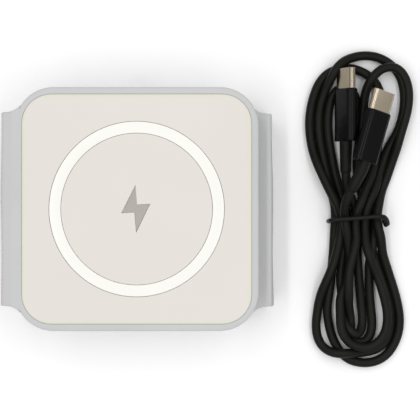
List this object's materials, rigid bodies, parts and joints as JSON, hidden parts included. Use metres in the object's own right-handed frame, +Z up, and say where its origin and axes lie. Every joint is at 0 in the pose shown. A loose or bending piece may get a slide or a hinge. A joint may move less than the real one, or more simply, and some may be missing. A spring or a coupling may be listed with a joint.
{
  "type": "folding wireless charger",
  "caption": "Square folding wireless charging pad with soft grey rims, a cream face, a white ring and a bolt mark, folded in a Z beside its tied black USB-C cable.",
  "frame": {"origin": "on the table, under the middle of the folded pad", "axes": "+Z up, +X from the pad towards its cable, +Y towards the USB-C port side"},
  "size_m": [0.132, 0.1032, 0.028],
  "materials": {
    "soft_skin": "soft-touch silicone, satin, very fine grain",
    "face_plastic": "cream polycarbonate, fine satin",
    "ring_plastic": "white, semi-gloss",
    "mark_ink": "grey, matt",
    "puck_plastic": "white, glossy, slightly dished",
    "bezel_metal": "turned aluminium",
    "chassis_plastic": "moulded grey ABS",
    "circuit_board": "green solder mask",
    "ferrite": "dark sintered ferrite",
    "copper": "enamelled copper wire, wound flat",
    "chip_plastic": "black moulded",
    "screw_steel": "zinc plated",
    "magnet": "nickel plated",
    "port_steel": "stamped steel",
    "light_pipe": "frosted clear",
    "flat_cable": "amber polyimide film",
    "cable_jacket": "black jacket, satin",
    "plug_plastic": "black moulded, semi-gloss",
    "plug_metal": "plated steel, warm reflection",
    "tie_rubber": "black, satin"
  },
  "bodies": {
    "base_module": {"base_skin": "soft_skin", "base_chassis": "chassis_plastic", "base_face_plate": "face_plastic", "base_circuit_board": "circuit_board", "base_ferrite_sheet": "ferrite", "base_charging_coil": "copper", "base_controller_chip": "chip_plastic", "base_screw_1": "screw_steel", "base_screw_2": "screw_steel", "base_screw_3": "screw_steel", "base_screw_4": "screw_steel", "base_buds_mark": "mark_ink", "usb_c_port_shell": "port_steel", "usb_c_port_tongue": "chip_plastic", "status_light_pipe": "light_pipe", "base_power_inductor": "ferrite"},
    "right_web": {"right_hinge_web": "soft_skin", "right_flat_cable": "flat_cable"},
    "watch_module": {"watch_skin": "soft_skin", "watch_chassis": "chassis_plastic", "watch_face_plate": "face_plastic", "watch_circuit_board": "circuit_board", "watch_ferrite_sheet": "ferrite", "watch_charging_coil": "copper", "watch_controller_chip": "chip_plastic", "watch_screw_1": "screw_steel", "watch_screw_2": "screw_steel", "watch_screw_3": "screw_steel", "watch_screw_4": "screw_steel", "watch_puck": "puck_plastic", "watch_puck_bezel": "bezel_metal", "watch_magnet": "magnet"},
    "left_web": {"left_hinge_web": "soft_skin", "left_flat_cable": "flat_cable"},
    "phone_module": {"phone_skin": "soft_skin", "phone_chassis": "chassis_plastic", "phone_face_plate": "face_plastic", "phone_circuit_board": "circuit_board", "phone_ferrite_sheet": "ferrite", "phone_charging_coil": "copper", "phone_controller_chip": "chip_plastic", "phone_screw_1": "screw_steel", "phone_screw_2": "screw_steel", "phone_screw_3": "screw_steel", "phone_screw_4": "screw_steel", "phone_ring_inlay": "ring_plastic", "phone_bolt_mark": "mark_ink", "phone_magnet_ring": "magnet"},
    "cable": {"cable_hank": "cable_jacket", "cable_lead_a": "cable_jacket", "cable_lead_b": "cable_jacket", "cable_tie": "tie_rubber", "plug_a_body": "plug_plastic", "plug_a_metal_shell": "plug_metal", "plug_a_contact_insert": "chip_plastic", "plug_a_strain_relief": "plug_plastic", "plug_b_body": "plug_plastic", "plug_b_metal_shell": "plug_metal", "plug_b_contact_insert": "chip_plastic", "plug_b_strain_relief": "plug_plastic"}
  },
  "joints": [
    {"name": "right_lower_crease", "type": "hinge", "parent": "base_module", "child": "right_web", "pos_m": [0.0419, 0, 0.0006], "axis": [0, 1, 0], "range_deg": [0, 90]},
    {"name": "right_upper_crease", "type": "hinge", "parent": "right_web", "child": "watch_module", "pos_m": [0.0419, 0, 0.0177], "axis": [0, 1, 0], "range_deg": [0, 90]},
    {"name": "left_lower_crease", "type": "hinge", "parent": "watch_module", "child": "left_web", "pos_m": [-0.0419, 0, 0.0099], "axis": [0, -1, 0], "range_deg": [0, 90]},
    {"name": "left_upper_crease", "type": "hinge", "parent": "left_web", "child": "phone_module", "pos_m": [-0.0419, 0, 0.027], "axis": [0, -1, 0], "range_deg": [0, 90]},
    {"name": "cable_aside", "type": "slide", "parent": "base_module", "child": "cable", "axis": [1, 0, 0], "range_m": [0, 0.2]}
  ],
  "couplings": [
    {"joint": "cable_aside", "follows": "right_lower_crease", "m_per_rad": 0.127}
  ]
}
